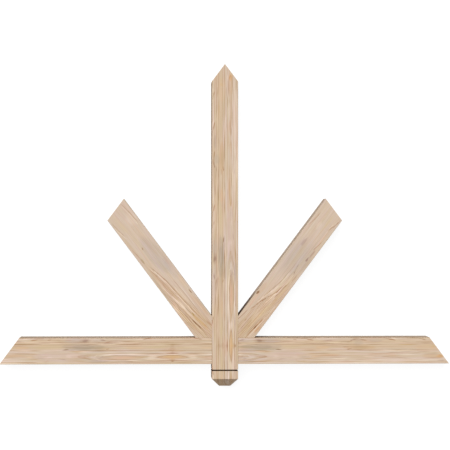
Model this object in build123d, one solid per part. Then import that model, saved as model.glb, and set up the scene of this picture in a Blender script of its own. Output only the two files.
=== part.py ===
from build123d import *
import os
from math import hypot

# A timber ornament for the peak of a gable: an upright post, a level chord that crosses it, and a strut
# on each side. It lies on its back. +X runs along the chord, +Y points up the post to the peak of the
# roof, and +Z comes out of the front. The origin is on the back, where the post's and the chord's centre
# lines cross. All sizes are in millimetres.

# Overall sizes
overall_width = 1524.0  # along the underside of the chord, from tip to tip
roof_rise = 1016.0  # from the underside of the chord to the peak
post_drop = 76.2  # how far the post hangs below the underside of the chord

# The square timber that all four members are sawn from
stock = 88.9
arris = 0.8  # radius of its eased long edges

# The pendant at the foot of the post
kerf_drop = 19.05  # from the underside of the chord to the saw kerf
kerf_width = 4.75
kerf_depth = 9.5
foot_chamfer = 25.4

# The joints
post_lap_share = 0.5  # share of the thickness that the post keeps, in front, where it crosses the chord
lap_gap = 0.25  # clearance at each shoulder of the crossing
tenon_length = 25.4
tenon_thickness = 28.6
tenon_shoulder = 12.7  # from each end of a strut's plumb cut to its tenon
tenon_gap = 0.25  # clearance round each tenon and at its end

# How far a cutting shape runs on past what it cuts
overrun = 5.0

# Half the stock, and the levels up and down the frame
side = stock / 2
underside = -side
peak = underside + roof_rise
foot = underside - post_drop
kerf_top = underside - kerf_drop
lap_plane = stock * (1 - post_lap_share)

# The slope of the roof lines, which the struts mirror
half_width = overall_width / 2
roof_length = hypot(half_width, roof_rise)
pitch = roof_rise / half_width

# A strut's centre line runs into the corner of post and chord, which sets the height of its plumb cut
plumb_cut = side * roof_length / half_width


def timber(start, end):
    """Square stock with eased long edges, its centre line from one point of the frame to another."""
    line = Vector(*end) - Vector(*start)
    square_cut = Plane(origin=(*start, side), x_dir=(0, 0, 1), z_dir=line)
    return extrude(square_cut * RectangleRounded(stock, stock, arris), amount=line.length)


def block(low, high):
    """A rectangular block between two corners."""
    size = Vector(*high) - Vector(*low)
    corner = (Align.MIN, Align.MIN, Align.MIN)
    return Pos(*low) * Box(size.X, size.Y, size.Z, align=corner)


def slab(*points):
    """Everything inside an outline drawn on the frame, through its whole thickness and past it."""
    outline = make_face(Polyline(*points, close=True))
    return extrude(Pos(0, 0, -overrun) * outline, amount=stock + 2 * overrun)


def under_roof(base):
    """Everything between the two roof lines, from a level upwards."""
    reach = (peak - base) / pitch
    return slab((-reach, base), (reach, base), (0, peak))


def tenon(gap):
    """The left strut's tenon, grown by a gap to make its mortise. Its root lies inside the strut."""
    bottom = side + tenon_shoulder - gap
    top = side + plumb_cut - tenon_shoulder + gap
    half_thickness = tenon_thickness / 2 + gap
    root = (-side - overrun, bottom, side - half_thickness)
    tip = (-side + tenon_length + gap, top, side + half_thickness)
    return block(root, tip)


def foot_cut():
    """The kerf and the chamfer on one side of the post's foot, drawn about the post's centre line."""
    kerf_low = (-side - overrun, kerf_top - kerf_width, side - kerf_depth)
    kerf_high = (side + overrun, kerf_top, side + overrun)
    wedge = Polyline(
        (side - foot_chamfer - overrun, foot - overrun),
        (side + overrun, foot - overrun),
        (side + overrun, foot + foot_chamfer + overrun),
        close=True,
    )
    across = Plane(origin=(side + overrun, 0, 0), x_dir=(0, 0, 1), z_dir=(-1, 0, 0))
    chamfer_cut = extrude(across * make_face(wedge), amount=stock + 2 * overrun)
    return block(kerf_low, kerf_high) + chamfer_cut


def king_post():
    """The upright, let in over the chord, with a pointed head and a pendant foot."""
    lap_low = (-side - overrun, -side - lap_gap, -overrun)
    lap_high = (side + overrun, side + lap_gap, lap_plane)
    post = timber((0, foot), (0, peak)) & under_roof(foot)
    post -= block(lap_low, lap_high)
    mortise = tenon(tenon_gap)
    post -= [mortise, mirror(mortise, about=Plane.YZ)]
    for turn in (0, 90, 180, 270):
        post -= Pos(0, 0, side) * Rot(0, turn, 0) * foot_cut()
    return post


def bottom_chord():
    """The level member, one length from eave to eave, let in behind the post."""
    lap_low = (-side - lap_gap, -side - overrun, lap_plane)
    lap_high = (side + lap_gap, side + overrun, stock + overrun)
    chord = timber((-half_width, 0), (half_width, 0)) & under_roof(underside)
    return chord - block(lap_low, lap_high)


def left_strut():
    """A web, sawn to fit the bay between the post, the chord and the roof line, with a tenon in the post."""
    reach = (peak - side) / pitch
    bay = slab((-side, side), (-side, peak - side * pitch), (-reach, side))
    below_corner = (0, side - side * pitch)
    past_roof = (-reach, side + (reach - side) * pitch)
    return (timber(below_corner, past_roof) & bay) + tenon(0)


strut = left_strut()
members = {
    "king_post": king_post(),
    "bottom_chord": bottom_chord(),
    "left_strut": strut,
    "right_strut": mirror(strut, about=Plane.YZ),
}

os.makedirs("parts", exist_ok=True)
for name, member in members.items():
    export_step(member, f"parts/{name}.step")
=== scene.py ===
import bpy
from math import atan, atan2, cos, radians, sin
from mathutils import Euler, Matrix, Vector


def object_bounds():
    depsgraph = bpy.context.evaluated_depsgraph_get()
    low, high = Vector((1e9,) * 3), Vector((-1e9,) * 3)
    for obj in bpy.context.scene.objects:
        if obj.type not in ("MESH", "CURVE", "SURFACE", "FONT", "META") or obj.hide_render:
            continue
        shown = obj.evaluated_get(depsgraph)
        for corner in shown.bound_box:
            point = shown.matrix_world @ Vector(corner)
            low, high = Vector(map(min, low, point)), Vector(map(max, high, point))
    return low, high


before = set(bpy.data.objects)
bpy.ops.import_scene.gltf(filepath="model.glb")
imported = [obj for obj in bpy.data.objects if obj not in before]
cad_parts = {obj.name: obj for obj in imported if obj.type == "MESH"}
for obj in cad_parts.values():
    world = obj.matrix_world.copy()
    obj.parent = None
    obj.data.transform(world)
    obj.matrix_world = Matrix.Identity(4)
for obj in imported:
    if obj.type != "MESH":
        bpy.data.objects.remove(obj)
cad_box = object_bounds()

# The studio: the bracket lies on its back on a white table, and the camera looks down on it from a
# little to the left, as in the photograph. One broad soft lamp above its upper left edge leaves the sides
# and the corners of the frame dark, and a dim white room fills them a little.
camera_left = 0.238
camera_height = 5.645
camera_shift = 0.05
camera_data = bpy.data.cameras.new("camera")
camera_data.sensor_width = 36
camera_data.lens = 133.5
camera_data.shift_x = camera_shift
camera_data.clip_end = 60
shifted = atan(camera_shift * camera_data.sensor_width / camera_data.lens)
camera_yaw = atan(camera_left / camera_height) - shifted
camera = bpy.data.objects.new("camera", camera_data)
above_middle = 0.0006
middle = (cad_box[0].y + cad_box[1].y) / 2
camera.location = (-camera_left, middle + above_middle, cad_box[1].z + camera_height)
camera.rotation_euler = (0, -camera_yaw, 0)
bpy.context.scene.collection.objects.link(camera)
bpy.context.scene.camera = camera

to_lamp = Vector((-0.3, 0.5, 1.0))
lamp_data = bpy.data.lights.new("key_lamp", "SUN")
lamp_data.energy = 3.08
lamp_data.angle = radians(55)
lamp = bpy.data.objects.new("key_lamp", lamp_data)
lamp.rotation_euler = to_lamp.to_track_quat("Z", "Y").to_euler()
bpy.context.scene.collection.objects.link(lamp)
bpy.context.scene.view_settings.view_transform = "Standard"


def wire(tree, kind, inputs=None, **settings):
    """A shader node, with its settings made and its sockets filled with values or links."""
    node = tree.nodes.new("ShaderNode" + kind)
    for name, value in settings.items():
        setattr(node, name, value)
    for name, value in (inputs or {}).items():
        if isinstance(value, bpy.types.NodeSocket):
            tree.links.new(value, node.inputs[name])
        else:
            node.inputs[name].default_value = value
    return node


def sums(tree, operation, *terms):
    """One Math node on up to three values or links."""
    return wire(tree, "Math", dict(enumerate(terms)), operation=operation).outputs[0]


def seen_by(tree):
    """1 where the camera, a reflection or glass looks, and 0 where light bounces."""
    path = wire(tree, "LightPath")
    seen = sums(tree, "MAXIMUM", path.outputs["Is Camera Ray"], path.outputs["Is Glossy Ray"])
    return sums(tree, "MAXIMUM", seen, path.outputs["Is Transmission Ray"])


white = (1, 1, 1, 1)
room_light = 0.15
room = bpy.data.worlds.new("white_room")
room.use_nodes = True
walls = room.node_tree
walls.nodes.clear()
wall_light = wire(walls, "MapRange", {"Value": seen_by(walls), "To Min": room_light, "To Max": 1.0})
background = wire(walls, "Background", {"Color": white, "Strength": wall_light.outputs[0]})
wire(walls, "OutputWorld", {"Surface": background.outputs[0]})
bpy.context.scene.world = room

# the table is dull and grey to the light, so that it keeps a shadow, and glows white to the camera
table_size = 30.0
table_gap = 0.0005
table_grey = (0.18, 0.18, 0.18, 1)
table_glow = 0.92
bpy.ops.object.select_all(action="DESELECT")
bpy.ops.mesh.primitive_plane_add(size=table_size, location=(0, 0, cad_box[0].z - table_gap))
table = bpy.context.object
table.name = "table"
table_finish = bpy.data.materials.new("white_table")
table_finish.use_nodes = True
top = table_finish.node_tree
top.nodes.clear()
dull = wire(top, "BsdfDiffuse", {"Color": table_grey})
glow = wire(top, "Emission", {"Color": white, "Strength": table_glow})
bright = wire(top, "AddShader", {0: dull.outputs[0], 1: glow.outputs[0]})
table_mix = wire(top, "MixShader", {0: seen_by(top), 1: dull.outputs[0], 2: bright.outputs[0]})
wire(top, "OutputMaterial", {"Surface": table_mix.outputs[0]})
table.data.materials.append(table_finish)

# The post: one upright of pale planed softwood, unfinished, with its pith close behind the front face.
# The rings are cut almost flat there, so they close up into long lenses on the right half of the face
# and run as straight lines on the left half. It is lapped over the chord, with a strut let into each side.
mm = 1000.0
stock = 88.9


def paint(red, green, blue):
    """A pale colour as it reads on a screen, made linear for the shader."""
    return (*[((value / 255 + 0.055) / 1.055) ** 2.4 for value in (red, green, blue)], 1)


def new_group(name, takes, gives):
    """An empty node group with its sockets: the group, what it takes and what it gives."""
    group = bpy.data.node_groups.new(name, "ShaderNodeTree")
    for socket, kind in takes.items():
        group.interface.new_socket(socket, in_out="INPUT", socket_type="NodeSocket" + kind)
    for socket, kind in gives.items():
        group.interface.new_socket(socket, in_out="OUTPUT", socket_type="NodeSocket" + kind)
    return group, group.nodes.new("NodeGroupInput").outputs, group.nodes.new("NodeGroupOutput").inputs


def mix(tree, factor, one, other, blend_type="MIX"):
    """A colour mix. The Mix node keeps its colours in sockets 6 and 7 and puts out its result at 2."""
    colours = {0: factor, 6: one, 7: other}
    return wire(tree, "Mix", colours, data_type="RGBA", blend_type=blend_type).outputs[2]


def remap(tree, value, low, high, to_low=0.0, to_high=1.0, smooth=True):
    """A value taken from one range to another, and held at its ends. If smooth, it eases in and out."""
    ranges = {"Value": value, "From Min": low, "From Max": high, "To Min": to_low, "To Max": to_high}
    easing = "SMOOTHSTEP" if smooth else "LINEAR"
    return wire(tree, "MapRange", ranges, interpolation_type=easing).outputs[0]


def grain_noise(tree, board, along, across, detail=2.0, offset=0.0, roughness=0.5):
    """Noise drawn out along the timber: its two lengths are in millimetres."""
    drawn = wire(tree, "VectorMath", {0: board, 1: (1 / along, 1 / across, 1 / across), 2: (offset,) * 3},
                 operation="MULTIPLY_ADD")
    return wire(tree, "TexNoise", {"Vector": drawn.outputs[0], "Scale": 1.0, "Detail": detail,
                                   "Roughness": roughness}).outputs["Fac"]


def curve(tree, value, points):
    """A smooth curve through points, flat beyond its ends."""
    (low, high), (least, most) = [(min(side), max(side)) for side in zip(*points)]
    node = wire(tree, "FloatCurve", {"Value": remap(tree, value, low, high, smooth=False)})
    line = node.mapping.curves[0]
    marks = [((at - low) / (high - low), (level - least) / (most - least)) for at, level in points]
    line.points[0].location = marks[0]
    line.points[1].location = marks[-1]
    for mark in marks[1:-1]:
        line.points.new(*mark)
    node.mapping.update()
    return remap(tree, node.outputs[0], 0.0, 1.0, least, most, smooth=False)


# a soft spot in a board: its middle, arrows along and across it, its bend and how soft its rim is
spot, taken, given = new_group(
    "spot",
    {"Board": "Vector", "Centre": "Vector", "Along": "Vector", "Across": "Vector", "Bend": "Float",
     "Softness": "Float", "Amount": "Float"},
    {"Share": "Float"})
spot_depth = 26.0
offset = wire(spot, "VectorMath", {0: taken["Board"], 1: taken["Centre"]}, operation="SUBTRACT")
lengthwise, crosswise, inward = [
    wire(spot, "VectorMath", {0: offset.outputs[0], 1: arrow}, operation="DOT_PRODUCT").outputs["Value"]
    for arrow in (taken["Along"], taken["Across"], (0, 0, 1 / spot_depth))]
squared = sums(spot, "MULTIPLY", lengthwise, lengthwise)
bent = sums(spot, "SUBTRACT", crosswise, sums(spot, "MULTIPLY", squared, taken["Bend"]))
left_over = sums(spot, "SUBTRACT", 1.0, squared)
for reach in (bent, inward):
    left_over = sums(spot, "SUBTRACT", left_over, sums(spot, "MULTIPLY", reach, reach))
spot.links.new(remap(spot, left_over, 0.0, taken["Softness"], 0.0, taken["Amount"]), given["Share"])

# a vein in a board: a fine line down a path across it, which fades out at both ends
vein, taken, given = new_group(
    "vein",
    {"Board": "Vector", "Path": "Float", "Width": "Float", "Start": "Float", "End": "Float",
     "Fade": "Float", "Amount": "Float"},
    {"Share": "Float"})
local = wire(vein, "SeparateXYZ", {"Vector": taken["Board"]}).outputs
off_path = sums(vein, "DIVIDE", sums(vein, "SUBTRACT", local["Y"], taken["Path"]), taken["Width"])
line_share = remap(vein, sums(vein, "MULTIPLY", off_path, off_path), 1.0, 0.0)
fade_in = sums(vein, "DIVIDE", sums(vein, "SUBTRACT", local["X"], taken["Start"]), taken["Fade"])
fade_out = sums(vein, "DIVIDE", sums(vein, "SUBTRACT", taken["End"], local["X"]), taken["Fade"])
ends_share = remap(vein, sums(vein, "MINIMUM", fade_in, fade_out), 0.0, 1.0)
line_share = sums(vein, "MULTIPLY", line_share, sums(vein, "MULTIPLY", ends_share, taken["Amount"]))
vein.links.new(line_share, given["Share"])
faded_end = 0.2

# the tints, which the plain wood is multiplied by
pale = (1.22, 1.25, 1.30, 1)
blush = (1.16, 1.18, 1.27, 1)
lilac = (0.98, 1.0, 1.08, 1)
grey = (0.78, 0.80, 0.84, 1)
peachy = (1.24, 1.18, 1.14, 1)
straw = (1.0, 1.01, 0.93, 1)
peach = (1.06, 0.98, 0.91, 1)
salmon = (1.05, 0.92, 0.88, 1)
golden = (1.04, 0.96, 0.76, 1)
orange = (1.03, 0.88, 0.70, 1)
tan = (0.96, 0.88, 0.80, 1)
olive = (0.78, 0.75, 0.66, 1)
moss = (0.70, 0.70, 0.48, 1)
brown = (0.72, 0.60, 0.50, 1)
russet = (0.72, 0.55, 0.45, 1)
plum = (0.68, 0.58, 0.59, 1)
umber = (0.52, 0.40, 0.31, 1)


def spot_on(tree, board, along, across, long, wide, turn, bend, softness, amount):
    """One spot: its middle, its reach along and across, its turn in degrees, its bend and the rest."""
    lean = radians(turn)
    return wire(tree, "Group", {
        "Board": board, "Centre": (along, across, 0), "Along": (cos(lean) / long, sin(lean) / long, 0),
        "Across": (-sin(lean) / wide, cos(lean) / wide, 0), "Bend": bend, "Softness": softness,
        "Amount": amount}, node_tree=spot).outputs[0]


def stained(tree, board, colour, spots):
    """Lays spots over a colour, each with its tint at its end."""
    for *shape, tint in spots:
        colour = mix(tree, spot_on(tree, board, *shape), colour, tint, "MULTIPLY")
    return colour


def veined(tree, board, colour, veins):
    """Lays veins over a colour. Each has half its width, its amount, its tint and its path."""
    along = wire(tree, "SeparateXYZ", {"Vector": board}).outputs["X"]
    for width, amount, tint, path in veins:
        first, last = path[0][0], path[-1][0]
        share = wire(tree, "Group", {
            "Board": board, "Path": curve(tree, along, path), "Width": width, "Start": first, "End": last,
            "Fade": (last - first) * faded_end, "Amount": amount}, node_tree=vein).outputs[0]
        colour = mix(tree, share, colour, tint, "MULTIPLY")
    return colour


# softwood: growth rings given as a running count, made into colour, gloss and height
wood, taken, given = new_group(
    "softwood",
    {"Board": "Vector", "Rings": "Float", "Waver": "Float", "Figure": "Float", "Paleness": "Float",
     "Seed": "Float", "End": "Float", "Pale": "Color", "Early": "Color", "Tan": "Color", "Late": "Color"},
    {"Color": "Color", "Roughness": "Float", "Height": "Float"})
seed_step = wire(wood, "CombineXYZ", {"X": taken["Seed"]}).outputs[0]
seeded = wire(wood, "VectorMath", {0: taken["Board"], 1: seed_step}, operation="ADD").outputs[0]
rings_wander = 0.55
rings_wobble = 0.34
wander = sums(wood, "SUBTRACT", grain_noise(wood, seeded, 240, 30, detail=1.0), 0.5)
wobble = sums(wood, "SUBTRACT", grain_noise(wood, seeded, 45, 6, offset=3.7), 0.5)
waver = sums(wood, "MULTIPLY_ADD", wobble, rings_wobble, sums(wood, "MULTIPLY", wander, rings_wander))
rings = sums(wood, "MULTIPLY_ADD", waver, taken["Waver"], taken["Rings"])
phase = sums(wood, "FRACT", rings)
count = sums(wood, "ADD", sums(wood, "FLOOR", rings), taken["Seed"])
ring_mood = wire(wood, "TexWhiteNoise", {"W": count}, noise_dimensions="1D").outputs["Value"]
late = wire(wood, "ValToRGB", {"Fac": phase})
late_wood = late.color_ramp.elements
late_wood[0].position = 0.0
late_wood[0].color = (0.85, 0.85, 0.85, 1)
late_wood[1].position = 1.0
late_wood[1].color = (0.9, 0.9, 0.9, 1)
for at, level in ((0.06, 0.0), (0.16, 0.02), (0.45, 0.2), (0.72, 0.5), (0.88, 0.95), (0.96, 1.0)):
    late_wood.new(at).color = (level, level, level, 1)
late_level = late.outputs[0]
lines_per_ring = 3.4
fine_strength = 0.16
fine = sums(wood, "FRACT", sums(wood, "MULTIPLY_ADD", rings, lines_per_ring, wobble))
fine_line = remap(wood, fine, 0.45, 0.95)
fibre = grain_noise(wood, seeded, 26, 0.5, offset=9.1)
streak = grain_noise(wood, seeded, 150, 2.4, detail=3.0, offset=5.3, roughness=0.6)
fade = grain_noise(wood, seeded, 70, 5, detail=1.0, offset=7.7)
zone = grain_noise(wood, seeded, 120, 9, offset=1.9)
blush_share = grain_noise(wood, seeded, 90, 5, offset=12.3)

strength = sums(wood, "MULTIPLY", late_level, remap(wood, ring_mood, 0.0, 1.0, 0.45, 1.05, False))
strength = sums(wood, "MULTIPLY", strength, remap(wood, fade, 0.3, 0.65, 0.5, 1.1))
strength = sums(wood, "MULTIPLY", strength, taken["Figure"])
pale_share = sums(wood, "ADD", taken["Paleness"], remap(wood, zone, 0.3, 0.7, -0.45, 0.45, False))
pale_share = wire(wood, "Clamp", {"Value": pale_share}).outputs[0]
ground = mix(wood, pale_share, taken["Early"], taken["Pale"])
colour = mix(wood, remap(wood, strength, 0.05, 0.6, smooth=False), ground, taken["Tan"])
colour = mix(wood, remap(wood, strength, 0.5, 1.0, smooth=False), colour, taken["Late"])
fine_share = sums(wood, "MULTIPLY", fine_line, sums(wood, "MULTIPLY", fine_strength, taken["Figure"]))
colour = mix(wood, fine_share, colour, taken["Late"])
shade = sums(wood, "MULTIPLY", remap(wood, streak, 0.25, 0.75, 0.92, 1.08),
             remap(wood, fibre, 0.2, 0.8, 0.96, 1.04))
shades = wire(wood, "CombineXYZ", {
    "X": sums(wood, "POWER", shade, 0.8), "Y": shade, "Z": sums(wood, "POWER", shade, 1.35)})
colour = mix(wood, 1.0, colour, shades.outputs[0], "MULTIPLY")
greener = (0.99, 1.01, 0.96, 1)
pinker = (1.015, 0.99, 1.02, 1)
hue = mix(wood, remap(wood, blush_share, 0.3, 0.7), greener, pinker)
colour = mix(wood, 1.0, colour, hue, "MULTIPLY")

# the sides carry painted shade, a little darker than the front, and the eased edges are darker
side_painted_shade = (0.92, 0.91, 0.90, 1)
darker_edge_tint = (0.86, 0.82, 0.76, 1)
end_tint = (0.88, 0.84, 0.79, 1)
axes = wire(wood, "SeparateXYZ", {"Vector": taken["Board"]}).outputs
from_side, from_front = [
    sums(wood, "SUBTRACT", stock / 2, sums(wood, "ABSOLUTE", sums(wood, "SUBTRACT", axis, stock / 2)))
    for axis in (axes["Y"], axes["Z"])]
on_side = remap(wood, from_side, 0.1, 0.6, 1.0, 0.0)
# painted shade on the sides
colour = mix(wood, on_side, colour, side_painted_shade, "MULTIPLY")
on_eased_edge = remap(wood, sums(wood, "MAXIMUM", from_side, from_front), 0.3, 2.4, 0.4, 0.0)
colour = mix(wood, on_eased_edge, colour, darker_edge_tint, "MULTIPLY")
colour = mix(wood, taken["End"], colour, end_tint, "MULTIPLY")
wood.links.new(colour, given["Color"])

# the dense late wood is a little smoother than the rest and stands a little proud, and ends are rough
plain_roughness = 0.66
late_smoothness = -0.08
fibre_roughness = 0.12
end_roughness = 0.15
late_height = 0.4
rough = sums(wood, "MULTIPLY_ADD", late_level, late_smoothness, plain_roughness)
rough = sums(wood, "MULTIPLY_ADD", fibre, fibre_roughness, rough)
rough = sums(wood, "MULTIPLY_ADD", taken["End"], end_roughness, rough)
wood.links.new(rough, given["Roughness"])
wood.links.new(sums(wood, "MULTIPLY_ADD", late_level, late_height, fibre), given["Height"])


def board_of(tree, start, turn):
    """Board millimetres: along the timber from a point on its centre line, across its face from its left
    or upper edge, and deep into it from the front."""
    flip = Vector((start[0], -start[1], -stock))
    flip.rotate(Euler((0, 0, turn)))
    return wire(tree, "Mapping", {
        "Vector": wire(tree, "TexCoord").outputs["Object"], "Location": Vector((0, stock / 2, 0)) - flip,
        "Rotation": (0, 0, turn), "Scale": (mm, -mm, -mm)}).outputs[0]


def ragged(tree, board, stirred_along=26.0, stirred_across=3.0):
    """The board's millimetres stirred a little along the fibres, so that no spot keeps a clean rim."""
    along = sums(tree, "SUBTRACT", grain_noise(tree, board, 30, 3, offset=2.2), 0.5)
    across = sums(tree, "SUBTRACT", grain_noise(tree, board, 36, 7, offset=6.4), 0.5)
    stir = wire(tree, "CombineXYZ", {"X": sums(tree, "MULTIPLY", along, stirred_along),
                                     "Y": sums(tree, "MULTIPLY", across, stirred_across)})
    return wire(tree, "VectorMath", {0: board, 1: stir.outputs[0]}, operation="ADD").outputs[0]


def end_grain(tree, turn):
    """How squarely a face cuts the fibres, from 0 on a timber's sides to 1 on a square cut."""
    facing = wire(tree, "TexCoord").outputs["Normal"]
    fibres = (cos(turn), sin(turn), 0)
    squarely = wire(tree, "VectorMath", {0: facing, 1: fibres}, operation="DOT_PRODUCT").outputs["Value"]
    return remap(tree, sums(tree, "ABSOLUTE", squarely), 0.25, 0.9)


def cut_timber(name, start, turn, seed, figure, colours):
    """A timber's own matt finish, on the slots of its solid. Its board starts at a point of the frame, and
    its fibres run at an angle to the chord. The seed sets its own rings and streaks apart."""
    finish = bpy.data.materials.new(name + "_softwood")
    finish.use_nodes = True
    tree = finish.node_tree
    shader = tree.nodes["Principled BSDF"]
    board = board_of(tree, start, turn)
    drawn = figure(tree, board)
    grain = wire(tree, "Group", {
        "Board": board, "Rings": drawn["Rings"], "Waver": drawn["Waver"], "Figure": drawn["Figure"],
        "Paleness": drawn["Paleness"], "Seed": seed, "End": end_grain(tree, turn), **colours},
        node_tree=wood)
    colour = mix(tree, 1.0, grain.outputs["Color"], drawn["Tint"], "MULTIPLY")
    tree.links.new(colour, shader.inputs["Base Color"])
    tree.links.new(grain.outputs["Roughness"], shader.inputs["Roughness"])
    shader.inputs["Specular IOR Level"].default_value = 0.05
    bump = wire(tree, "Bump", {"Height": grain.outputs["Height"], "Strength": 0.25, "Distance": 0.0002})
    tree.links.new(bump.outputs[0], shader.inputs["Normal"])
    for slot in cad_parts[name].material_slots:
        slot.material = finish


# flame figure: what the post and the chord, sawn from one plank, have in common. The rings lie round the
# heart of the tree, a little behind the front. The figure runs the same way to both sides of its start.
flame, taken, given = new_group(
    "flame_figure", {"Board": "Vector"},
    {"Rings": "Float", "Waver": "Float", "Figure": "Float", "Paleness": "Float", "Tint": "Color"})
heart_across = 64.2
heart_deep = 6.0
lopsided = 0.09
axes = wire(flame, "SeparateXYZ", {"Vector": taken["Board"]}).outputs
along = sums(flame, "ABSOLUTE", axes["X"])
folded = wire(flame, "CombineXYZ", {"X": along, "Y": axes["Y"], "Z": axes["Z"]}).outputs[0]
aside = sums(flame, "SUBTRACT", axes["Y"], heart_across)
aside = sums(flame, "MULTIPLY_ADD", sums(flame, "ABSOLUTE", aside), lopsided, aside)
below = sums(flame, "SUBTRACT", axes["Z"], heart_deep)
from_heart = wire(flame, "CombineXYZ", {"X": aside, "Y": below}).outputs[0]
radius = wire(flame, "VectorMath", {0: from_heart}, operation="LENGTH").outputs["Value"]

# how many rings lie within a distance of the heart, and how far they rise to close up into lenses
growth = curve(flame, radius, [
    (0, 0.25), (6, 0.5), (7.8, 0.95), (13.8, 2), (22.3, 3), (27.5, 4), (32.1, 5), (39.1, 6), (46.2, 7),
    (51.7, 8), (58.4, 9), (65.4, 10), (72.4, 11), (79.4, 12), (86.4, 13), (93.4, 14), (107, 16)])
rise = curve(flame, along, [
    (0, 0.10), (30.5, 0.28), (47.4, 0.47), (67.7, 0.56), (88.1, 0.48), (128.7, 0.30), (172.7, 0.20),
    (223.5, 0.32), (257.4, 0.55), (284.5, 1.0), (308.2, 1.5), (352.2, 1.85), (406.4, 1.8), (447.0, 1.1),
    (477.5, 0.52), (531.7, 0.22), (616.4, 0.22), (677.3, 0.4), (701.0, 0.54), (718.0, 0.50), (772.2, 0.28),
    (843.3, 0.22), (914.4, 0.1), (982.1, 0.1)])
rise_reach = 12.0
near = sums(flame, "POWER", sums(flame, "DIVIDE", radius, rise_reach), 3.0)
rings = sums(flame, "ADD", growth, sums(flame, "DIVIDE", rise, sums(flame, "ADD", near, 1.0)))
flame.links.new(rings, given["Rings"])
flame.links.new(remap(flame, radius, 8.0, 30.0, 0.15, 1.0), given["Waver"])
paleness = curve(flame, radius, [
    (0, 0.5), (10, 0.7), (20, 0.8), (25, 0.2), (30, 0.0), (46, 0.05), (55, 0.6), (62, 0.8), (80, 0.3),
    (107, 0.4)])
flame.links.new(paleness, given["Paleness"])
plain_stretch = spot_on(flame, folded, 395, 58, 85, 30, 0, 0, 0.7, 1.0)
in_eye = spot_on(flame, folded, 180, 67, 80, 7.5, 0, 0, 0.7, 0.75)
faint = sums(flame, "MAXIMUM", plain_stretch, in_eye)
flame.links.new(remap(flame, faint, 0.0, 1.0, 1.0, 0.3, False), given["Figure"])
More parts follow.
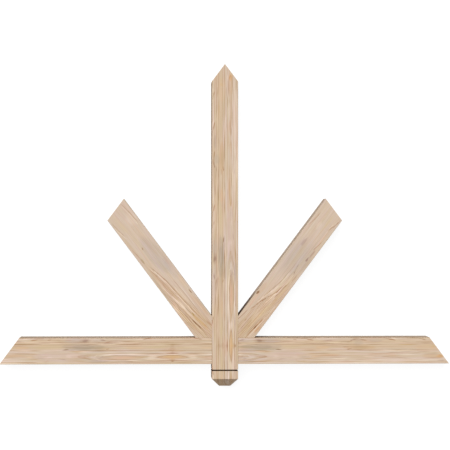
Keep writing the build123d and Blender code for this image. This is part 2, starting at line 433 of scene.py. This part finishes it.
plank_spots = [
    # the golden eye where the figure turns, outlined in brown, with a dark stroke above its middle
    (0, 44.5, 47, 12, 0, 0, 1, 0.8, tan),
    (0, 37.3, 11, 24, 0, 0, 1, 0.25, brown),
    (0, 65.3, 58, 8.2, 0, 0, 0.5, 1, tan),
    (0, 65.1, 41, 6.4, 0, 0, 0.9, 0.9, golden),
    (0, 59.4, 58, 1.4, 0, 6.4, 1, 0.8, brown),
    (0, 71.7, 58, 1.3, 0, -3.6, 1, 0.7, brown),
    (51, 66.0, 20, 1.5, 7, 0, 1, 0.7, brown),
    (0, 71.1, 7, 9, 0, 0, 1, 0.5, golden),
    (0, 78.7, 8, 3.2, 0, 0, 1, 1, brown),
    (0, 52.0, 27, 1.9, 0, 0, 1, 1.1, russet),
    (0, 52.2, 12, 1.5, 0, 0, 1, 0.8, russet),
    (61, 52.6, 41, 1.3, 0, 0, 1, 0.7, brown),
    (0, 56.2, 30, 1.9, 0, 0, 1, 0.7, peachy),
    (61, 57.3, 30, 2.4, 3, 0, 0.9, 0.5, peachy),
    (119, 55.1, 44, 2.4, 0, 0, 0.9, 0.9, pale),
    (68, 64.9, 20, 8, 0, 0, 0.9, 0.5, pale),
    (37, 73.1, 58, 1.8, 0, 0, 1, 0.9, pale),
    (78, 72.5, 17, 2, 0, 0, 1, 0.6, blush),
    (30, 77.2, 64, 1.5, 0, 0, 0.9, 1, russet),
    (0, 75.6, 10, 2.6, 0, 0, 1, 0.5, brown),
    (88, 77.8, 27, 1.5, 0, 0, 1, 0.6, plum),
    (17, 81.3, 68, 1.6, 0, 0, 1, 0.4, tan),
    (7, 84.9, 88, 1.6, 0, 0, 1, 0.4, olive),
    # straight lines in the upper half, strongest a quarter of the way across
    (0, 17.3, 54, 1.6, 0, 0, 1, 0.6, brown),
    (0, 24.0, 41, 1.8, 0, 0, 1, 1, brown),
    (0, 28.4, 75, 1.4, 0, 0, 1, 0.4, olive),
    (95, 18.7, 47, 1.4, 0, 0, 1, 0.4, brown),
    (142, 20.9, 58, 1.8, 0.3, 0, 0.9, 1.2, brown),
    (135, 17.3, 58, 1.6, 0, 0, 1, 0.7, pale),
    (149, 10.9, 34, 1.7, 0.5, 0, 1, 0.9, brown),
    (149, 7.6, 37, 2.4, 0, 0, 0.9, 0.6, pale),
    (203, 11.6, 30, 1.5, 1.5, 0, 1, 0.5, brown),
    (179, 16.9, 27, 1.6, 2, 0, 1, 0.7, pale),
    (224, 22.2, 44, 1.5, 4, 0, 1, 0.8, pale),
    (217, 19.6, 37, 1.5, 4, 0, 1, 0.8, plum),
    (284, 26.7, 34, 1.6, 5, 0, 1, 0.6, pale),
    (274, 22.7, 37, 1.6, 6, 0, 1, 0.7, olive),
    (142, 28.0, 41, 1.5, 0, 0, 1, 0.5, tan),
    (196, 31.1, 41, 1.4, 2, 0, 1, 0.5, plum),
    (51, 32.0, 47, 3.5, 0, 0, 0.8, 0.6, straw),
    (129, 34.2, 41, 4.5, 0, 0, 0.9, 0.6, peach),
    (115, 40.9, 41, 1.6, 0, 0, 1, 0.5, olive),
    (41, 40.4, 51, 1.8, 0, 0, 1, 0.5, olive),
    (152, 43.6, 68, 1.5, 0, 0, 1, 0.5, plum),
    (81, 51.1, 61, 1.6, 1, 0, 1, 0.5, plum),
    (142, 51.1, 51, 3, 0, 0, 0.8, 0.7, lilac),
    (203, 48.9, 30, 1.5, 0, 0, 1, 0.5, pale),
    (203, 8.9, 88, 10, 0, 0, 0.8, 0.8, lilac),
    # the second eye, salmon at first and grey at its blunt end, inside two nested bows
    (169, 66.7, 85, 8, 0, 0, 0.5, 0.9, tan),
    (163, 66.7, 47, 5, 0, 0, 0.9, 0.7, salmon),
    (224, 66.7, 30, 4, 0, 0, 0.8, 0.5, grey),
    (173, 59.7, 81, 1.5, 0, 4.4, 1, 0.9, brown),
    (173, 74.2, 81, 1.5, 0, -4.2, 1, 0.8, brown),
    (240, 63.6, 15, 1.5, 14, 0, 1, 0.5, plum),
    (247, 70.2, 14, 1.5, -14, 0, 1, 0.5, plum),
    (169, 56.0, 75, 2.2, 0, 0, 0.9, 0.8, pale),
    (169, 77.8, 61, 1.7, 0, 0, 1, 0.6, pale),
    (227, 58.2, 30, 2, 6, 0, 1, 0.7, pale),
    (271, 65.3, 9, 5, 0, 0, 1, 0.25, blush),
    (261, 61.3, 17, 1.8, 22, 0, 1, 0.5, pale),
    (254, 72.5, 20, 2, -14, 0, 1, 0.7, blush),
    (163, 79.1, 54, 1.6, 0, 0, 1, 0.7, plum),
    (244, 30.2, 41, 7, 0, 0, 0.9, 0.45, grey),
    (264, 58.7, 10, 3, 0, 0, 1, 0.5, lilac),
    (139, 80.5, 14, 1.8, 0, 0, 1, 0.6, brown),
    (135, 76.0, 27, 2, 0, 0, 1, 0.7, pale),
    (224, 77.8, 30, 1.5, -2, 0, 1, 0.7, plum),
    (227, 75.1, 20, 1.6, -2, 0, 1, 0.6, blush),
    (257, 57.3, 30, 2.2, 9, 0.6, 1, 0.8, tan),
    (293, 64.0, 24, 3.4, 18, 0, 0.9, 0.8, tan),
    (295, 68.0, 20, 3.6, 0, 0, 0.9, 0.5, tan),
    (278, 65.8, 54, 20, 0, 0, 1, 0.3, grey),
    (281, 73.8, 27, 1.9, -12, 0, 1, 0.6, brown),
    (251, 77.3, 17, 1.6, -8, 0, 1, 0.7, plum),
    (322, 69.3, 24, 4, -3, 0, 0.9, 0.4, straw),
    (335, 56.9, 30, 6, 4, 0, 0.8, 0.4, blush),
    (251, 80.9, 41, 6, 0, 0, 0.8, 0.5, grey),
    # a grey patch with two small plum spots above it and a dark fleck at its corner
    (240, 35.6, 34, 7.5, 0, 0, 0.8, 0.4, tan),
    (257, 11.6, 30, 8, 0, 0, 0.9, 0.6, lilac),
    (284, 30.7, 61, 10.5, 0, 0, 0.4, 0.5, grey),
    (318, 30.2, 58, 12, 0, 0, 0.4, 0.5, grey),
    (312, 37.3, 81, 9, 0, 0, 0.7, 0.3, grey),
    (257, 44.5, 47, 7, 0, 0, 0.9, 0.4, grey),
    (244, 44.0, 24, 1.6, -1, 0, 1, 0.35, plum),
    (305, 40.9, 44, 1.7, -1, 0, 1, 0.8, olive),
    (301, 45.5, 44, 2.6, 1.5, 0, 1, 1, pale),
    (361, 40.4, 15, 3, 0, 0, 1, 0.9, umber),
    (342, 41.8, 17, 1.6, 0, 0, 1, 0.6, brown),
    (219, 38.2, 4, 2, 0, 0, 1, 1, brown),
    (237, 39.1, 20, 1.5, 3, 0, 1, 0.5, olive),
    (325, 10.7, 54, 9, 0, 0, 0.7, 0.4, grey),
    (294, 9.8, 12, 6.4, 0, 0, 1, 0.65, plum),
    (295, 10.7, 24, 10, 0, 0, 1, 0.35, plum),
    (235, 8.0, 9, 3, -12, 0, 1, 0.9, plum),
    (217, 14.7, 15, 1.8, 3, 0, 1, 1, russet),
    (318, 4.9, 20, 2.2, 0, 0, 0.9, 0.5, lilac),
    (349, 8.0, 14, 4, 0, 0, 0.9, 0.6, salmon),
    (335, 8.9, 30, 12, 0, 0, 0.8, 0.8, lilac),
    # short brown ticks hanging from the upper edge, each with a pale streak beside it
    (85, 2.7, 19, 2.3, 13, 0, 1, 1, brown),
    (75, 2.7, 17, 4, 4, 0, 0.9, 0.5, salmon),
    (112, 4.4, 20, 3.4, 0, 0, 0.8, 0.6, pale),
    (416, 7.1, 11, 2, 8, 0, 1, 0.8, brown),
    (386, 2.9, 24, 2, 3, 0, 1, 0.6, pale),
    (467, 7.1, 15, 2.6, 9, 0, 1, 1.3, russet),
    (447, 3.1, 17, 1.8, 2, 0, 1, 0.7, brown),
    (491, 3.6, 17, 2.2, 6, 0, 1, 0.8, pale),
    (613, 8.9, 12, 2.4, -14, 0, 1, 1, plum),
    (598, 14.7, 14, 1.5, -3, 0, 1, 0.7, brown),
    (620, 4.9, 14, 2, 4, 0, 1, 0.6, brown),
    (646, 8.4, 16, 2.3, 8, 0, 1, 1, brown),
    (748, 7.6, 17, 2.6, 8, 0, 1, 1.2, russet),
    (732, 4.4, 14, 2, 10, 0, 1, 0.5, brown),
    (752, 3.6, 17, 2.4, 10, 0, 1, 0.8, pale),
    (850, 6.2, 20, 2, 13, 0, 1, 0.9, brown),
    (860, 3.1, 15, 2, 8, 0, 1, 0.8, pale),
    (457, 10.7, 85, 9, 0, 0, 0.9, 0.2, pale),
    (786, 10.7, 102, 9, 0, 0, 0.9, 0.2, pale),
    # a straw-coloured stretch with lilac wood below it, and a salmon streak at its end
    (420, 29.3, 61, 10, 0, 0, 0.6, 0.35, straw),
    (396, 17.5, 30, 1.7, 0, 0, 1, 0.9, pale),
    (481, 15.3, 44, 1.7, 0, 0, 1, 0.8, pale),
    (386, 13.8, 30, 1.4, 1, 0, 1, 0.5, brown),
    (433, 26.7, 27, 1.6, 0, 0, 1, 0.5, golden),
    (484, 25.3, 27, 2.2, 0, 0, 1, 0.6, straw),
    (508, 32.9, 30, 7, 0, 0, 0.8, 0.8, peach),
    (433, 40.4, 102, 6, 0, 0, 0.9, 0.5, tan),
    (379, 63.1, 102, 20, 0, 0, 0.5, 0.9, lilac),
    (400, 62.2, 122, 18, 0, 0, 0.6, 0.75, tan),
    (425, 56.0, 7, 5, 24, 0, 1, 0.3, salmon),
    (420, 66.2, 20, 1.8, 4, 0, 1, 0.6, blush),
    (447, 63.6, 17, 1.7, 3, 0, 1, 0.6, grey),
    (371, 72.5, 17, 2, -4, 0, 1, 0.6, plum),
    (501, 42.8, 37, 1.8, 0, 0, 1, 0.7, pale),
    (450, 82.2, 30, 1.8, 0, 0, 1, 0.6, pale),
    (349, 64.0, 14, 5, 0, 0, 0.9, 0.4, blush),
    (444, 70.2, 30, 1.5, -2, 0, 1, 0.5, grey),
    (423, 78.2, 5, 6, 0, 0, 1, 0.5, tan),
    (532, 59.6, 47, 7, 0, 0, 0.9, 0.9, tan),
    (532, 59.1, 41, 4, 0, 0, 1, 0.4, salmon),
    (559, 67.1, 30, 1.5, 0, 0, 1, 0.8, brown),
    (508, 54.2, 30, 1.5, -2, 0, 1, 0.5, brown),
    (484, 64.5, 17, 2.4, 0, 0, 1, 0.7, pale),
    # lines again, with broad pale and pink ones among them
    (508, 21.2, 68, 1.6, 0.2, 0, 0.9, 1.1, brown),
    (464, 21.2, 30, 1.4, 0, 0, 1, 0.5, olive),
    (525, 11.7, 27, 1.7, 0, 0, 1, 0.9, plum),
    (545, 17.3, 30, 1.7, 0, 0, 0.9, 0.5, pale),
    (583, 13.3, 27, 1.5, 2, 0, 1, 0.7, plum),
    (583, 22.7, 30, 1.6, 5, 0, 1, 0.7, brown),
    (532, 27.6, 44, 1.4, 0, 0, 1, 0.5, brown),
    (586, 31.1, 14, 1.7, 8, 0, 1, 0.5, plum),
    (542, 15.1, 54, 1.9, 0.5, 0, 1, 0.7, pale),
    (528, 4.4, 47, 2.8, 0, 0, 0.8, 0.6, blush),
    (576, 43.6, 30, 1.7, 1, 0, 1, 0.6, pale),
    (569, 70.2, 34, 3.4, 0, 0, 0.8, 0.6, pale),
    (593, 77.3, 17, 1.5, 0, 0, 1, 0.6, olive),
    (569, 78.2, 88, 7, 0, 0, 0.9, 0.6, blush),
    (630, 16.0, 20, 16, 0, 0, 0.9, 0.4, grey),
    (593, 85.8, 122, 4, 0, 0, 0.9, 0.8, pale),
    # a brown patch and a grey one beyond it
    (637, 33.3, 61, 9.5, 0, 0, 0.5, 0.8, tan),
    (633, 35.6, 41, 8, 0, 0, 1, 0.35, olive),
    (671, 43.1, 61, 1.6, 0, 0, 1, 0.8, brown),
    (599, 38.8, 5, 2.4, 0, 0, 1, 1.2, brown),
    (688, 10.7, 30, 5, 0, 0, 0.7, 0.5, grey),
    (688, 24.0, 34, 1.6, 0, 0, 1, 0.6, brown),
    (688, 57.8, 30, 4.2, 0, 0, 0.8, 0.6, tan),
    (667, 64.9, 24, 2.2, 0, 0, 1, 0.8, pale),
    # a blunt lens, pale lines above it and pink wood below it
    (742, 58.7, 29, 4.2, 3, 0, 0.7, 0.6, salmon),
    (799, 58.7, 34, 3.8, 0, 0, 0.8, 0.35, pale),
    (752, 51.6, 34, 1.5, -3, 0.5, 1, 0.6, brown),
    (796, 24.0, 37, 2.2, 0, 0, 1, 0.8, golden),
    (813, 24.4, 34, 1.5, 0, 0, 1, 0.4, brown),
    (806, 48.9, 34, 1.5, 1, 0, 1, 0.5, brown),
    (725, 66.2, 20, 1.6, 5, 0, 1, 0.8, brown),
    (776, 70.2, 47, 1.6, 2, 0, 1, 0.8, brown),
    (752, 44.5, 95, 1.9, 0, 0, 1, 0.8, pale),
    (772, 40.0, 68, 1.5, 0, 0, 1, 0.6, olive),
    (796, 14.7, 30, 1.5, 0, 0, 1, 0.6, olive),
    (769, 18.7, 51, 1.7, 1, 0, 1, 0.6, pale),
    (772, 22.2, 61, 1.6, 0, 0, 1, 0.6, olive),
    (752, 79.1, 129, 9, 0, 0, 0.4, 0.6, blush),
    # peach wood towards the end, with a resin streak and an orange eye at the tip
    (867, 35.6, 47, 15, 0, 0, 0.5, 0.4, peach),
    (882, 32.9, 5, 9, 10, 0, 0.8, 0.5, golden),
    (860, 18.7, 20, 1.5, 0, 0, 1, 0.6, brown),
    (853, 48.9, 30, 1.5, 1, 0, 1, 0.7, brown),
    (826, 53.3, 30, 1.5, -1, 0, 1, 0.6, brown),
    (881, 63.1, 41, 9, 0, 0, 0.7, 0.8, tan),
    (910, 63.6, 14, 8.5, 0, 0, 0.9, 1, orange),
    (911, 62.2, 6, 4, 12, 0, 1, 0.5, brown),
    (877, 56.5, 37, 1.5, 0, 0, 1, 0.8, brown),
    (884, 70.2, 41, 1.6, 0, 0, 1, 0.9, brown),
    (908, 52.0, 14, 2, 0, 0, 1, 0.8, pale),
    (881, 75.6, 41, 2.4, 0, 0, 1, 0.8, blush),
    (914, 78.7, 17, 1.6, 0, 0, 1, 0.8, plum),
]
flame.links.new(stained(flame, ragged(flame, folded), white, plank_spots), given["Tint"])

plank_colours = {"Pale": paint(219, 200, 184), "Early": paint(215, 191, 163), "Tan": paint(207, 180, 151),
                 "Late": paint(187, 153, 123)}


def plank_figure(tree, board):
    """The flame figure on one timber."""
    return wire(tree, "Group", {"Board": board}, node_tree=flame).outputs


# the saw kerf near the foot, whose walls and floor carry painted shade
kerf_middle = -82.9
kerf_reach = 2.6
kerf_below_faces = 0.4
kerf_painted_shade = (0.13, 0.09, 0.05, 1)


def post_figure(tree, board):
    """The plank's figure, with painted shade in the saw kerf below the faces."""
    drawn = dict(plank_figure(tree, board).items())
    sides = wire(tree, "SeparateXYZ", {"Vector": board}).outputs
    in_kerf = sums(tree, "COMPARE", sides["X"], kerf_middle, kerf_reach)
    for across in (sides["Y"], sides["Z"]):
        below = sums(tree, "COMPARE", across, stock / 2, stock / 2 - kerf_below_faces)
        in_kerf = sums(tree, "MULTIPLY", in_kerf, below)
    # painted shade inside the kerf
    drawn["Tint"] = mix(tree, in_kerf, drawn["Tint"], kerf_painted_shade, "MULTIPLY")
    return drawn


cut_timber("king_post", (0, 17), radians(90), 0.0, post_figure, plank_colours)

# The chord: the level member, one length from eave to eave, sawn from the same plank as the post and
# let in behind it. Its figure is the post's again, about a small swirl to the left of the crossing.
cut_timber("bottom_chord", (-177.8, 0), 0.0, 500.0, plank_figure, plank_colours)

# The left strut: a web cut from a plainer board, paler and pinker towards its head. Its veins climb
# slowly from the lower edge to the upper one. It is tenoned into the post and stands on the chord.
head_to_foot = -atan2(0.8, 0.6)
strut_ring_width = 4.6
strut_waver = 1.2
strut_colours = {"Pale": paint(215, 195, 179), "Early": paint(213, 188, 161), "Tan": paint(205, 177, 148),
                 "Late": paint(183, 148, 117)}


def sloping_rings(tree, board, path, leaning=0.6):
    """A ring count whose lines follow a path of rises in millimetres, and lean with the depth."""
    axes = wire(tree, "SeparateXYZ", {"Vector": board}).outputs
    dropped = sums(tree, "SUBTRACT", axes["Y"], curve(tree, axes["X"], path))
    return sums(tree, "DIVIDE", sums(tree, "MULTIPLY_ADD", axes["Z"], leaning, dropped), strut_ring_width)


left_path = [(0, 0), (190, -20), (370, -52), (560, -90)]
left_lively = (430, 62, 270, 50, -9, 0, 1.0, 1.0)
left_corner = 447.6
left_spots = [
    # plain wood at the head, with a straw patch, fine lines at both edges and a russet fleck
    (68, 62.2, 24, 8, 0, 0, 0.5, 0.6, straw),
    (159, 26.7, 41, 12, 0, 0, 1, 0.4, lilac),
    (237, 31.1, 54, 17, 0, 0, 1, 0.4, lilac),
    (78, 13.9, 5, 2, 0, 0, 0.9, 0.7, pale),
    (163, 51.2, 7, 2.4, 0, 0, 0.9, 1, russet),
    (193, 76.9, 14, 4.4, 0, 0, 0.8, 1, olive),
    (373, 8.3, 10, 2, 0, 0, 0.9, 1.3, umber),
    (244, 10.7, 20, 3, 0, 0, 0.7, 0.5, salmon),
    (325, 8.9, 30, 6, 0, 0, 0.6, 0.5, peach),
    (440, 8.9, 47, 3, -3, 0, 0.8, 0.5, tan),
    # tan wood between the veins, turning golden towards the foot
    (312, 65.3, 68, 5.2, -8, 0, 0.6, 0.7, tan),
    (376, 56.0, 20, 3.6, -8, 0, 0.7, 0.4, tan),
    (488, 44.5, 102, 46, -8, 0, 1, 0.35, tan),
    (58, 22.2, 27, 24, 0, 0, 0.9, 0.35, pale),
    (203, 30.2, 88, 30, -3, 0, 0.6, 0.45, grey),
    (271, 14.2, 54, 14, 0, 0, 0.8, 0.35, grey),
    (427, 10.7, 61, 9, -4, 0, 0.8, 0.9, tan),
    (386, 80.0, 24, 7, 0, 0, 0.9, 0.5, pale),
    (383, 62.2, 41, 7, -10, 0, 0.9, 0.8, pale),
    (366, 40.0, 47, 9, -6, 0, 1, 0.5, pale),
    (413, 80.0, 54, 8, -6, 0, 1, 0.9, pale),
    (420, 62.2, 47, 5, -10, 0, 1, 0.7, pale),
    (427, 41.8, 41, 5, -9, 0, 1, 0.6, pale),
    (471, 43.6, 51, 6.6, -8, 0, 0.9, 0.9, golden),
    (439, 47.1, 8, 2.4, 0, 0, 0.9, 1, moss),
    (494, 37.3, 17, 2.6, -8, 0, 0.8, 0.7, tan),
    (417, 53.3, 17, 2.2, -8, 0, 0.8, 0.6, grey),
    (444, 72.9, 51, 6, -6, 0, 0.5, 0.9, straw),
    (478, 70.2, 20, 4, -8, 0, 0.7, 0.8, tan),
    (376, 78.2, 10, 3, 0, 0, 0.8, 0.7, salmon),
    (498, 22.2, 17, 3, -10, 0, 0.9, 0.6, russet),
    (511, 17.8, 17, 3, -10, 0, 0.8, 0.4, salmon),
    (433, 20.4, 41, 4.5, -6, 0, 0.6, 0.5, lilac),
    (305, 82.7, 75, 3, 0, 0, 0.7, 0.6, grey),
]
left_veins = [
    # brown and red-brown veins with a pale line under each
    (2.2, 0.85, brown, [(200, 75), (217, 69), (237, 66), (254, 61), (278, 56), (305, 51), (339, 48),
        (373, 45), (406, 42), (430, 39), (454, 35), (478, 31), (505, 24)]),
    (2.2, 1.0, pale, [(210, 76), (244, 69), (271, 61), (305, 56), (339, 53), (373, 50), (406, 46),
        (430, 43), (457, 40)]),
    (1.7, 0.7, brown, [(224, 77), (254, 71), (288, 65), (318, 62)]),
    (3.0, 1.0, blush, [(257, 81), (291, 77), (315, 75), (339, 71), (366, 66), (400, 60), (423, 57),
        (457, 54), (491, 50), (515, 46), (542, 41)]),
    (2.0, 0.65, brown, [(339, 77), (366, 73), (400, 67), (433, 63), (457, 60), (478, 57), (508, 53),
        (535, 50)]),
    (1.8, 0.9, umber, [(450, 61), (467, 59), (481, 57), (501, 54)]),
    (1.9, 0.8, pale, [(444, 66), (467, 63), (491, 60), (528, 55)]),
    (1.8, 0.8, brown, [(379, 77), (406, 73), (433, 70), (457, 68), (488, 64)]),
    (1.7, 0.8, brown, [(27, 84), (47, 82), (68, 79), (98, 72)]),
    (1.7, 0.7, pale, [(41, 86), (68, 82), (91, 78), (108, 75)]),
    (1.7, 0.8, brown, [(-7, 20), (17, 16), (41, 13), (85, 9)]),
    (1.6, 0.6, pale, [(-3, 24), (20, 20), (47, 17)]),
    (1.7, 0.6, brown, [(142, 83), (163, 80), (186, 78)]),
    (1.9, 0.5, pale, [(359, 15), (406, 14), (461, 12)]),
    (1.4, 0.6, plum, [(298, 32), (356, 29), (406, 27), (457, 24)]),
    (1.5, 0.6, pale, [(332, 26), (379, 24), (427, 23)]),
    (1.5, 0.7, pale, [(413, 36), (454, 33), (494, 31)]),
    (1.5, 0.7, brown, [(352, 83), (393, 80), (440, 76), (481, 73)]),
    (1.4, 0.6, olive, [(400, 84), (440, 81), (481, 79)]),
    (1.3, 0.5, brown, [(284, 70), (318, 67), (352, 64)]),
]

# painted shade in the sharp corner between the post and a strut's upper side
corner_painted_shade = (0.3, 0.26, 0.23, 1)


def strut_figure(tree, board, path, lively, corner, spots, veins):
    """Rings along a path, lively round one spot and faint elsewhere, under spots and veins. The upper
    side has painted shade near the place along the board where it meets the post."""
    stirred = ragged(tree, board)
    near_foot = spot_on(tree, board, *lively)
    tint = veined(tree, stirred, stained(tree, stirred, white, spots), veins)
    axes = wire(tree, "SeparateXYZ", {"Vector": board}).outputs
    # painted shade: the upper side darkened near the post, where shade falls in the corner
    from_corner = sums(tree, "ABSOLUTE", sums(tree, "SUBTRACT", axes["X"], corner))
    in_painted_shade = remap(tree, from_corner, 20, 80, 1.0, 0.0)
    on_upper_side = remap(tree, axes["Y"], 0.2, 0.7, 1.0, 0.0)
    tint = mix(tree, sums(tree, "MULTIPLY", in_painted_shade, on_upper_side), tint, corner_painted_shade, "MULTIPLY")
    return {"Rings": sloping_rings(tree, board, path), "Waver": strut_waver,
            "Figure": remap(tree, near_foot, 0.0, 1.0, 0.4, 1.3, False),
            "Paleness": remap(tree, near_foot, 0.0, 1.0, 0.7, 0.25, False), "Tint": tint}


def left_figure(tree, board):
    """The left strut's own figure."""
    return strut_figure(tree, board, left_path, left_lively, left_corner, left_spots, left_veins)


cut_timber("left_strut", (-369.9, 478.35), head_to_foot, 900.0, left_figure, strut_colours)

# The right strut: the same on the other side, from another board. It has two knots, and its veins
# sweep down from the upper edge at the foot to the lower edge halfway up.
right_path = [(0, 0), (85, 6), (130, 20), (180, 35), (250, 46), (370, 52), (540, 60)]
right_lively = (90, 56, 250, 50, 8, 0, 1.0, 1.0)
right_corner = 94.8
right_spots = [
    # golden wood at the foot, with an orange patch under the dark vein
    (88, 44.5, 149, 46, 5, 0, 1, 0.25, tan),
    (61, 80.9, 24, 7, 5, 0, 0.9, 0.7, tan),
    (183, 9.8, 34, 9, 0, 0, 0.9, 0.8, tan),
    (203, 58.7, 51, 16, 8, 0, 0.9, 0.35, blush),
    (339, 44.5, 95, 56, 0, 0, 1, 0.5, grey),
    (332, 80.0, 41, 10, 0, 0, 1, 0.35, grey),
    (47, 47.1, 51, 9, 4, 0, 0.7, 0.8, straw),
    (81, 55.1, 61, 8, 6, 0, 1, 0.25, golden),
    (61, 78.7, 20, 4.2, 6, 0, 0.9, 0.8, orange),
    (63, 69.3, 10, 2.2, 6, 0, 1, 0.8, umber),
    (64, 27.6, 10, 2.4, 6, 0, 0.9, 0.7, brown),
    (129, 64.0, 37, 10, 8, 0, 0.5, 0.8, straw),
    (210, 73.8, 44, 6.5, 8, 0, 1, 0.45, golden),
    (169, 71.1, 17, 6, 0, 0, 0.8, 0.6, tan),
    (135, 10.2, 34, 6, 0, 0, 0.6, 0.6, salmon),
    # two knots, a fleck with its tail, and lilac wood round them
    (163, 5.9, 8, 4.4, 0, 0, 0.7, 1.4, umber),
    (291, 65.3, 5, 2.6, 0, 0, 0.9, 1.1, plum),
    (352, 73.4, 10, 3.2, 0, 0, 0.8, 1.3, plum),
    (379, 76.5, 20, 4, 0, 0, 0.7, 0.6, plum),
    (312, 21.3, 102, 15, 0, 0, 0.9, 0.5, lilac),
    (332, 55.1, 54, 15, 0, 0, 1, 0.4, lilac),
    (393, 28.4, 20, 6, 0, 0, 0.8, 0.5, plum),
    (251, 48.9, 37, 5, 8, 0, 0.7, 0.7, pale),
    (203, 44.5, 27, 4, 10, 0, 0.8, 0.7, pale),
    (129, 53.3, 81, 20, 8, 0, 1, 0.35, pale),
    (203, 53.3, 54, 10, 8, 0, 1, 0.3, pale),
    (257, 64.0, 34, 8, 6, 0, 1, 0.4, pale),
    # pale wood at the head
    (467, 35.6, 20, 8, 0, 0, 0.7, 0.5, blush),
    (498, 56.9, 27, 8, 0, 0, 0.5, 0.6, straw),
    (444, 73.8, 27, 4, 2, 0, 0.7, 0.6, peach),
    (518, 84.5, 14, 1.6, 0, 0, 1, 0.5, brown),
]
right_veins = [
    # veins that sweep down from the upper edge at the foot to the lower edge halfway up
    (2.0, 1.0, brown, [(91, 15), (119, 25), (135, 29), (152, 35), (169, 41), (186, 50), (203, 57),
        (224, 59), (240, 62)]),
    (2.0, 0.5, russet, [(135, 30), (152, 36), (166, 40)]),
    (1.9, 0.6, russet, [(193, 53), (210, 57), (230, 60)]),
    (2.6, 1.0, pale, [(129, 22), (146, 27), (163, 32), (183, 37), (203, 42)]),
    (2.2, 0.9, pale, [(142, 45), (163, 51), (183, 55), (203, 60), (227, 63)]),
    (2.0, 1.0, olive, [(159, 28), (179, 34), (203, 39), (224, 43), (254, 48), (284, 50)]),
    (2.0, 0.9, brown, [(176, 59), (203, 65), (224, 67), (237, 69), (257, 74)]),
    (2.2, 1.1, russet, [(14, 65), (34, 66), (54, 68), (68, 70), (85, 72), (108, 75)]),
    (2.1, 1.0, pale, [(20, 70), (47, 72), (68, 74), (95, 77), (122, 79)]),
    (1.7, 0.7, brown, [(20, 60), (47, 62), (68, 65), (91, 68)]),
    (1.7, 0.7, pale, [(27, 64), (54, 65), (81, 69), (105, 72)]),
    (2.0, 0.9, brown, [(41, 5), (61, 8), (81, 11), (98, 15)]),
    (1.8, 0.7, brown, [(20, 33), (47, 34), (75, 36), (95, 40)]),
    (1.6, 0.5, brown, [(14, 40), (47, 42), (81, 45)]),
    (2.0, 0.7, pale, [(108, 78), (135, 80), (169, 80)]),
    (1.8, 0.7, brown, [(261, 75), (274, 77), (291, 78)]),
    (1.7, 0.7, plum, [(291, 65), (305, 62), (322, 60)]),
    (1.8, 0.8, brown, [(444, 6), (464, 9), (484, 12), (508, 14)]),
    (1.9, 0.7, russet, [(386, 70), (403, 73), (420, 76), (437, 80)]),
    (2.0, 0.8, brown, [(467, 71), (488, 76), (505, 81), (522, 84)]),
    (1.8, 0.6, pale, [(478, 69), (501, 76), (522, 81)]),
    (1.3, 0.6, tan, [(20, 27), (47, 28), (81, 29), (108, 33)]),
    (1.4, 0.5, brown, [(27, 49), (61, 51), (102, 54), (142, 57), (183, 62)]),
    (1.3, 0.6, pale, [(34, 53), (75, 56), (115, 59), (156, 62)]),
    (1.3, 0.6, olive, [(27, 57), (61, 59), (95, 61)]),
    (1.3, 0.5, brown, [(95, 46), (129, 49), (163, 53), (196, 59)]),
    (1.5, 0.7, pale, [(68, 20), (95, 22), (122, 26)]),
    (1.3, 0.5, brown, [(210, 44), (251, 47), (291, 50), (332, 52)]),
]


def right_figure(tree, board):
    """The right strut's own figure."""
    return strut_figure(tree, board, right_path, right_lively, right_corner, right_spots, right_veins)


cut_timber("right_strut", (44.45, 44.45), -head_to_foot, 1400.0, right_figure, strut_colours)
